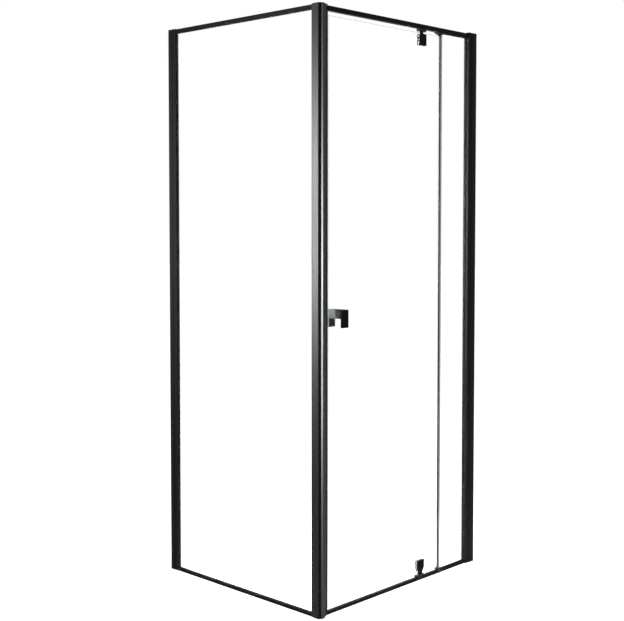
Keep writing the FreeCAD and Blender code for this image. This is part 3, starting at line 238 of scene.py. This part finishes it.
# Extruded soft PVC: thin walls that let most of the light through, a little milky, with drag lines
# along their length that blur the shine

pvcSkin = {
    "dragSpacing": 1.4, "dragLength": 160.0,        # mm, drawn coarser than the real 0.3 mm
    "rough": (0.22, 0.38), "gloss": 0.5,
}
pvcLooks = {        # clear is the share of the light that goes straight through
    "sill": {"along": "X", "dark": "#dfe5e4", "light": "#f2f5f5", "through": "#fafcfb",
             "clear": (0.84, 0.94)},
    "upright": {"along": "Z", "dark": "#dfe5e4", "light": "#f2f5f5", "through": "#fafcfb",
                "clear": (0.82, 0.92)},
    "milky": {"along": "Z", "dark": "#8a8d8d", "light": "#a6a8a8", "through": "#e9eceb",
              "clear": (0.40, 0.58)},
}


def softPvc(name, look):
    material, tree = newMaterial(name)
    place = addNode(tree, "TexCoord", {})
    across, length = 1000 / pvcSkin["dragSpacing"], 1000 / pvcSkin["dragLength"]
    stretch = [length if axis == look["along"] else across for axis in "XYZ"]
    drag = addNode(tree, "Mapping", {"Scale": stretch}, [("Vector", place.outputs["Object"])])
    lines = addNode(tree, "TexNoise", {"Scale": 1.0, "Detail": 2.0}, [("Vector", drag.outputs["Vector"])])
    smoothest, roughest = pvcSkin["rough"]
    rough = addNode(tree, "MapRange", {"To Min": smoothest, "To Max": roughest},
                    [("Value", lines.outputs["Fac"])])
    dark, light = linear(look["dark"]), linear(look["light"])
    tint = addNode(tree, "Mix", {"data_type": "RGBA", 6: dark, 7: light}, [(0, lines.outputs["Fac"])])
    skin = addNode(tree, "BsdfPrincipled", {"Specular IOR Level": pvcSkin["gloss"]}, [
        ("Base Color", tint.outputs[2]), ("Roughness", rough.outputs["Result"])])
    through = addNode(tree, "BsdfTransparent", {"Color": linear(look["through"])})
    milkiest, clearest = look["clear"]
    share = addNode(tree, "MapRange", {"To Min": milkiest, "To Max": clearest},
                    [("Value", lines.outputs["Fac"])])
    shown = addNode(tree, "MixShader", {}, [
        (0, share.outputs["Result"]), (1, skin.outputs["BSDF"]), (2, through.outputs["BSDF"])])
    addNode(tree, "OutputMaterial", {}, [("Surface", shown.outputs["Shader"])])
    return material


# Turned stainless steel: bright, with fine tool marks that spread the shine

steelLook = {
    "dark": "#b1b1b3", "light": "#cfcfd1", "rough": (0.22, 0.4),
    "marks": 0.25, "markHeight": 0.01,      # mm
    "markStrength": 0.2,
}


def turnedSteel(name):
    look = steelLook
    material, tree = newMaterial(name)
    place = addNode(tree, "TexCoord", {})
    marks = addNode(tree, "TexNoise", {"Scale": 1000 / look["marks"], "Detail": 2.0},
                    [("Vector", place.outputs["Object"])])
    smoothest, roughest = look["rough"]
    rough = addNode(tree, "MapRange", {"To Min": smoothest, "To Max": roughest},
                    [("Value", marks.outputs["Fac"])])
    dark, light = linear(look["dark"]), linear(look["light"])
    colour = addNode(tree, "Mix", {"data_type": "RGBA", 6: dark, 7: light}, [(0, marks.outputs["Fac"])])
    bump = addNode(tree, "Bump", {"Strength": look["markStrength"], "Distance": look["markHeight"] * mm},
                   [("Height", marks.outputs["Fac"])])
    shader = addNode(tree, "BsdfPrincipled", {"Metallic": 1.0}, [
        ("Base Color", colour.outputs[2]), ("Roughness", rough.outputs["Result"]),
        ("Normal", bump.outputs["Normal"])])
    addNode(tree, "OutputMaterial", {}, [("Surface", shader.outputs["BSDF"])])
    return material


finishes = {
    "coatCorner": powderCoat("powder_coat_corner", "Z", coatShine["corner"]),
    "coatWall": powderCoat("powder_coat_wall", "Z", coatShine["wall"]),
    "coatJamb": powderCoat("powder_coat_jamb", "Z", coatShine["jamb"]),
    "coatDoorSide": powderCoat("powder_coat_door_side", "X", coatShine["rail"]),
    "coatReturnSide": powderCoat("powder_coat_return_side", "Y", coatShine["rail"]),
    "doorGlass": toughenedGlass("toughened_glass_door_side", "Y"),
    "returnGlass": toughenedGlass("toughened_glass_return_side", "X"),
    "sillPvc": softPvc("clear_pvc_sill", pvcLooks["sill"]),
    "uprightPvc": softPvc("clear_pvc_upright", pvcLooks["upright"]),
    "milkyPvc": softPvc("milky_pvc_edge", pvcLooks["milky"]),
    "steel": turnedSteel("turned_stainless_steel"),
}
for finish, look in grains.items():
    finishes[finish] = grained(finish, look)
print("finishes made:", len(finishes))


# Every sheet, bar and moulding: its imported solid, with the small arrises that the real piece has

arrisOf = {         # mm
    "coatCorner": 0.4, "coatWall": 0.4, "coatJamb": 0.4, "coatDoorSide": 0.4, "coatReturnSide": 0.4,
    "coatedZinc": 0.6, "polishedZinc": 0.6, "doorGlass": 0.35, "returnGlass": 0.35,
    "nylon": 0.3, "epdm": 0.25, "silicone": 0.2, "blackPvc": 0.25, "ferrite": 0.15,
    "sillPvc": 0.15, "uprightPvc": 0.15, "milkyPvc": 0.2,
}
roundSteps = {"coatedZinc": 4, "polishedZinc": 4, "doorGlass": 1, "returnGlass": 1, "ferrite": 1}
usualSteps = 2
weld = {"gap": 0.002, "near": 0.05, "flatAngle": 1.0, "edgeAngle": 25.0}      # mm and degrees

# The jamb's nose turns the corner in a facet, which mirrors the soft light as a thin bright strip
noseFacet = {"node": "strike_jamb", "round": 0.8, "leg": 3.6, "wall": 1.6, "chamberShift": 1.05}    # mm


def cutNoseFacet(work):
    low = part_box(noseFacet["node"])[0]
    corner, leg, wall = noseFacet["round"] * mm, noseFacet["leg"] * mm, noseFacet["wall"] * mm
    near = weld["near"] * mm
    for vert in work.verts:
        across, out = vert.co.x - low.x, vert.co.y - low.y
        if across < corner + near and out < corner + near:      # a point of the small round
            turn = math.atan2(max(corner - out, 0), max(corner - across, 0)) / (math.pi / 2)
            vert.co.x = low.x + leg * turn
            vert.co.y = low.y + leg * (1 - turn)
        elif abs(across - wall) < near and abs(out - wall) < near:      # the chamber's corner behind it
            vert.co.x += noseFacet["chamberShift"] * mm
            vert.co.y += noseFacet["chamberShift"] * mm


def weldedMesh(node):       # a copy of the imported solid, with its triangles joined into whole faces
    mesh = frame["nodes"][node].data.copy()
    mesh.name = node + "_finished"
    work = bmesh.new()
    work.from_mesh(mesh)
    bmesh.ops.remove_doubles(work, verts=work.verts, dist=weld["gap"] * mm)
    if node == noseFacet["node"]:
        cutNoseFacet(work)
    bmesh.ops.dissolve_limit(work, angle_limit=math.radians(weld["flatAngle"]), verts=work.verts,
                             edges=work.edges)
    work.to_mesh(mesh)
    work.free()
    mesh.materials.clear()
    return mesh


def breakEdges(piece, finish):
    bevel = piece.modifiers.new("arris", "BEVEL")
    bevel.width = arrisOf[finish] * mm
    bevel.segments = roundSteps.get(finish, usualSteps)
    bevel.limit_method = "ANGLE"
    bevel.angle_limit = math.radians(weld["edgeAngle"])
    bevel.use_clamp_overlap = True


def shadeEvenly(piece):         # flat faces stay flat, and only the arrises turn
    piece.data.shade_smooth()
    for edge in piece.data.edges:
        edge.use_edge_sharp = False
    even = piece.modifiers.new("even_shading", "WEIGHTED_NORMAL")
    even.mode = "FACE_AREA"
    even.weight = 100
    even.keep_sharp = False


def takePlace(piece, node):
    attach(piece, frame["nodes"][node]["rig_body"])
    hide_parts(node)


def finished(node, finish):
    mesh = weldedMesh(node)
    mesh.materials.append(finishes[finish])
    piece = bpy.data.objects.new(node + "_finished", mesh)
    scene.collection.objects.link(piece)
    breakEdges(piece, finish)
    if "Glass" in finish:
        mesh.shade_flat()       # panes are dead flat, with ground arrises
    else:
        shadeEvenly(piece)
    takePlace(piece, node)


# Corner post and strike jamb

cornerFinish = {
    "corner_post": "coatCorner", "strike_jamb": "coatJamb", "jamb_magnet_holder": "blackPvc",
    "jamb_magnet": "ferrite", "corner_cap": "nylon", "corner_foot": "nylon",
}
for node, finish in cornerFinish.items():
    finished(node, finish)
print("corner post and jamb made")


# Fixed return panel

returnPanelFinish = {
    "return_front_stile": "coatCorner", "return_wall_stile": "coatWall",
    "return_wall_channel": "coatWall", "return_channel_cap": "nylon",
    "return_bottom_rail": "coatReturnSide", "return_top_rail": "coatReturnSide",
    "return_glass": "returnGlass", "return_post_gasket": "epdm", "return_wall_gasket": "epdm",
    "return_sill_gasket": "epdm", "return_head_gasket": "epdm",
}
for node, finish in returnPanelFinish.items():
    finished(node, finish)
print("return panel made")


# Frame of the door side

doorFrameFinish = {
    "head_rail": "coatDoorSide", "sill_rail": "coatDoorSide", "door_wall_stile": "coatWall",
    "door_wall_channel": "coatWall", "door_channel_cap": "nylon", "adjuster_covers": "nylon",
    "head_filler_strip": "nylon", "sill_filler_strip": "nylon", "top_pivot_bush": "nylon",
    "bottom_pivot_bush": "nylon",
}
for node, finish in doorFrameFinish.items():
    finished(node, finish)
print("door frame made")


# Fixed panel in line with the door

inlinePanelFinish = {
    "inline_glass": "doorGlass", "inline_sill_bead": "epdm", "inline_head_bead": "epdm",
    "inline_stile_gasket": "epdm", "inline_edge_clips": "nylon", "inline_edge_seal": "milkyPvc",
    "inline_edge_strip": "blackPvc",
}
for node, finish in inlinePanelFinish.items():
    finished(node, finish)
print("inline panel made")


# Door leaf with its edge seals

doorLeafFinish = {
    "door_glass": "doorGlass", "door_strike_seal": "uprightPvc", "door_strike_magnet": "ferrite",
    "door_drip_seal": "sillPvc",
}
for node, finish in doorLeafFinish.items():
    finished(node, finish)
print("door leaf made")


# Two pivot clamps

clampFinish = {
    "outer_plate": "coatedZinc", "inner_plate": "coatedZinc", "core": "coatedZinc", "pads": "silicone",
}
for clamp in ("clamp_top", "clamp_low"):
    for part, finish in clampFinish.items():
        finished(f"{clamp}_{part}", finish)
print("pivot clamps made")


# Pulls on both faces of the door

pullFinish = {
    "outer_pull": "coatedZinc", "inner_pull": "polishedZinc", "pull_pads": "silicone",
    "pull_sleeve": "uprightPvc",
}
for node, finish in pullFinish.items():
    finished(node, finish)
print("pulls made")


# Screws, pins and the stud: turned about their own axes, with real threads and hexagon sockets

threads = {         # mm: the pitch of each set, and how deep its thread is cut
    "jamb_screws": (1.3, 0.30), "rail_screws": (1.3, 0.30), "adjuster_screws": (1.3, 0.30),
    "bush_screws": (1.3, 0.30), "clamp_top_screws": (0.7, 0.35), "clamp_low_screws": (0.7, 0.35),
    "pull_stud": (1.0, 0.45), "pull_grub_screws": (0.7, 0.30), "clamp_top_pin": None, "clamp_low_pin": None,
}
turning = {
    "sides": 24, "stepsPerTurn": 4, "sharpAngle": 38.0,     # degrees
    "rim": 0.35, "rimStart": 0.105, "chamfer": 0.5, "socketLead": 0.15, "neck": 0.6,       # mm
}


def looseParts(node):       # the points of each screw in the set
    work = bmesh.new()
    work.from_mesh(frame["nodes"][node].data)
    bmesh.ops.remove_doubles(work, verts=work.verts, dist=weld["gap"] * mm)
    work.verts.index_update()
    seen = set()
    parts = []
    for start in work.verts:
        if start.index in seen:
            continue
        seen.add(start.index)
        waiting, points = [start], []
        while waiting:
            vert = waiting.pop()
            points.append(vert.co.copy())
            for edge in vert.link_edges:
                other = edge.other_vert(vert)
                if other.index not in seen:
                    seen.add(other.index)
                    waiting.append(other)
        parts.append(points)
    work.free()
    return parts


def readTurning(points):       # where the part lies, and its radii from the tip to the socket end
    low = Vector([min(point[i] for point in points) for i in range(3)])
    high = Vector([max(point[i] for point in points) for i in range(3)])
    axis = max(range(3), key=lambda i: high[i] - low[i])
    middle = (low + high) / 2
    radii = {}
    for point in points:
        away = point - middle
        level = round(point[axis] / mm, 2)
        away[axis] = 0
        radii.setdefault(level, set()).add(round(away.length / mm, 2))
    levels = sorted(radii)
    if len(radii[levels[0]]) > len(radii[levels[-1]]):
        levels.reverse()
    tip = middle.copy()
    tip[axis] = levels[0] * mm
    pointing = Vector((0, 0, 0))
    pointing[axis] = 1 if levels[-1] > levels[0] else -1
    place = Matrix.Translation(tip) @ pointing.to_track_quat("Z", "Y").to_matrix().to_4x4()
    return place, [(abs(level - levels[0]), sorted(radii[level])) for level in levels]


# A ring is its distance from the tip and its radius, which is a number or a function of the angle

def hexagon(corner):
    flat = corner * math.cos(math.pi / 6)
    return lambda angle: flat / math.cos(angle % (math.pi / 3) - math.pi / 6)


def threadRing(along, crest, pitch, depth):
    def radius(angle):
        phase = (along / pitch - angle / math.tau) % 1
        return crest - depth * (1 - abs(2 * phase - 1))
    return along, radius


def threadRings(start, end, crest, cut):
    pitch, depth = cut
    count = max(2, round((end - start) / pitch * turning["stepsPerTurn"]))
    places = [start + (end - start) * step / count for step in range(count + 1)]
    return [threadRing(along, crest, pitch, depth) for along in places]


def socketRings(end, floor, corner):
    lead = turning["socketLead"]
    return [(end, hexagon(corner + lead)), (end - lead, hexagon(corner)), (floor, hexagon(corner))]


def turnedRings(levels, cut):
    rim, chamfer, end = turning["rim"], turning["chamfer"], levels[-1][0]
    shank = levels[0][1][-1]
    if cut is None:         # plain pin
        return [(0, shank - chamfer), (chamfer, shank), (end - chamfer, shank), (end, shank - chamfer)]
    root = shank - cut[1]
    if len(levels) == 2:    # stud, threaded from end to end
        return ([(0, root - chamfer / 2)] + threadRings(chamfer, end - chamfer, shank, cut)
                + [(end, root - chamfer / 2)])
    if len(levels) == 3:    # grub screw
        floor, corner = levels[1][0], levels[2][1][0]
        return ([(0, root - chamfer)] + threadRings(chamfer, end - chamfer / 2, shank, cut)
                + [(end, root)] + socketRings(end, floor, corner - turning["socketLead"]))
    underside, floor = levels[1][0], levels[2][0]       # screw with a head
    corner, head = levels[3][1][0], levels[3][1][-1]
    neck, rimStart = underside - turning["neck"], turning["rimStart"]
    return ([(0, root - chamfer)] + threadRings(chamfer, neck, shank, cut)
            + [(underside, root), (underside, head - rim / 2), (underside + rim / 2, head),
               (end - rim, head), (end - rimStart, head - rimStart), (end, head - rim)]
            + socketRings(end, floor, corner))


def ringVerts(work, place, along, radius):
    verts = []
    for step in range(turning["sides"]):
        angle = math.tau * step / turning["sides"]
        reach = radius(angle) if callable(radius) else radius
        local = Vector((reach * math.cos(angle), reach * math.sin(angle), along)) * mm
        verts.append(work.verts.new(place @ local))
    return verts


def turnedSet(node, cut):
    mesh = bpy.data.meshes.new(node + "_turned")
    work = bmesh.new()
    sides = turning["sides"]
    for points in looseParts(node):
        place, levels = readTurning(points)
        loops = [ringVerts(work, place, along, radius) for along, radius in turnedRings(levels, cut)]
        for low, high in zip(loops, loops[1:]):
            for step in range(sides):
                after = (step + 1) % sides
                work.faces.new((low[step], low[after], high[after], high[step]))
        work.faces.new(loops[0][::-1])
        work.faces.new(loops[-1])
    work.to_mesh(mesh)
    work.free()
    mesh.shade_smooth()
    mesh.set_sharp_from_angle(angle=math.radians(turning["sharpAngle"]))
    mesh.materials.append(finishes["steel"])
    piece = bpy.data.objects.new(node + "_turned", mesh)
    scene.collection.objects.link(piece)
    takePlace(piece, node)


for node, cut in threads.items():
    turnedSet(node, cut)
print("screws, pins and stud turned")


# White floor and surroundings: white to the eye and in reflections, while the floor still takes a shadow

studio = {
    "floorSide": 40.0,      # m
    "floorColour": "#e6e6e6", "floorSpeckle": "#eaeaea", "speckleScale": 60.0,
    "floorRough": 0.9, "floorGlow": 0.80, "surroundLight": 0.35,
}
white = linear("#ffffff")


def seenDirectly(tree):     # 1 for rays that go straight, mirrored or through glass to the surroundings
    path = addNode(tree, "LightPath", {})
    first = addNode(tree, "Math", {"operation": "MAXIMUM"},
                    [(0, path.outputs["Is Camera Ray"]), (1, path.outputs["Is Glossy Ray"])])
    return addNode(tree, "Math", {"operation": "MAXIMUM"},
                   [(0, first.outputs[0]), (1, path.outputs["Is Transmission Ray"])]).outputs[0]


def whiteFloor():       # matt paint, with a speckle too faint to see as a pattern
    material, tree = newMaterial("matt_white_floor")
    glow = addNode(tree, "Math", {"operation": "MULTIPLY", 1: studio["floorGlow"]},
                   [(0, seenDirectly(tree))])
    speckle = addNode(tree, "TexNoise", {"Scale": studio["speckleScale"], "Detail": 2.0})
    plain, speck = linear(studio["floorColour"]), linear(studio["floorSpeckle"])
    colour = addNode(tree, "Mix", {"data_type": "RGBA", 6: plain, 7: speck}, [(0, speckle.outputs["Fac"])])
    paint = {"Roughness": studio["floorRough"], "Specular IOR Level": 0.0, "Emission Color": white}
    shader = addNode(tree, "BsdfPrincipled", paint, [
        ("Base Color", colour.outputs[2]), ("Emission Strength", glow.outputs[0])])
    addNode(tree, "OutputMaterial", {}, [("Surface", shader.outputs["BSDF"])])
    return material


floorMesh = bpy.data.meshes.new("floor")
side = studio["floorSide"] / 2
floorCorners = [(-side, -side, 0), (side, -side, 0), (side, side, 0), (-side, side, 0)]
floorMesh.from_pydata(floorCorners, [], [(0, 1, 2, 3)])
floorMesh.materials.append(whiteFloor())
floor = bpy.data.objects.new("floor", floorMesh)
floor.location.z = cadBox[0].z
scene.collection.objects.link(floor)

world = bpy.data.worlds.new("white_surround")
world.use_nodes = True
scene.world = world
worldTree = world.node_tree
worldTree.nodes.clear()
strength = addNode(worldTree, "MapRange", {"To Min": studio["surroundLight"], "To Max": 1.0},
                   [("Value", seenDirectly(worldTree))])
surround = addNode(worldTree, "Background", {"Color": white}, [("Strength", strength.outputs["Result"])])
addNode(worldTree, "OutputWorld", {}, [("Surface", surround.outputs["Background"])])


# Soft studio lamps

lamps = {       # place, aim, width and height in metres, power in watts
    "overhead": {"place": (0.2, -0.4, 4.2), "aim": (0.35, 0.3, 0.9), "size": (3.2, 3.2), "power": 60},
    # A tall box on the left, which the faces towards it mirror as a long highlight
    "leftBox": {"place": (-1.50, 1.17, 1.27), "aim": (0.0, 0.0, 1.1), "size": (0.4, 1.0), "power": 205},
    # A taller one behind the camera, which the facet of the jamb's nose mirrors
    "frontBox": {"place": (-2.62, -2.70, 0.66), "aim": (0.0, 0.0, 0.9), "size": (0.5, 1.8), "power": 420},
}
for name, lamp in lamps.items():
    data = bpy.data.lights.new(name, "AREA")
    data.shape = "RECTANGLE"
    data.size, data.size_y = lamp["size"]
    data.energy = lamp["power"]
    light = bpy.data.objects.new(name, data)
    light.location = lamp["place"]
    light.rotation_mode = "QUATERNION"
    light.rotation_quaternion = (Vector(lamp["aim"]) - Vector(lamp["place"])).to_track_quat("-Z", "Y")
    light.visible_camera = False
    light.visible_transmission = False
    light.visible_diffuse = name == "overhead"      # the two boxes only show in reflections
    scene.collection.objects.link(light)
print("floor, surround and lamps made")


# Camera: turned down a little, with the lens shifted to keep the whole height in view

view = {
    "place": (-2.4018, -2.2851, 1.2176),        # m
    "tilt": 2.6, "heading": -46.139,            # degrees
    "lens": 63.825, "film": 36.0,               # mm
    "shiftY": -0.0693,
}
cameraData = bpy.data.cameras.new("camera")
cameraData.lens = view["lens"]
cameraData.sensor_width = view["film"]
cameraData.shift_y = view["shiftY"]
camera = bpy.data.objects.new("camera", cameraData)
camera.location = view["place"]
camera.rotation_euler = (math.radians(90 - view["tilt"]), 0, math.radians(view["heading"]))
scene.collection.objects.link(camera)
scene.camera = camera

scene.view_settings.view_transform = "Standard"
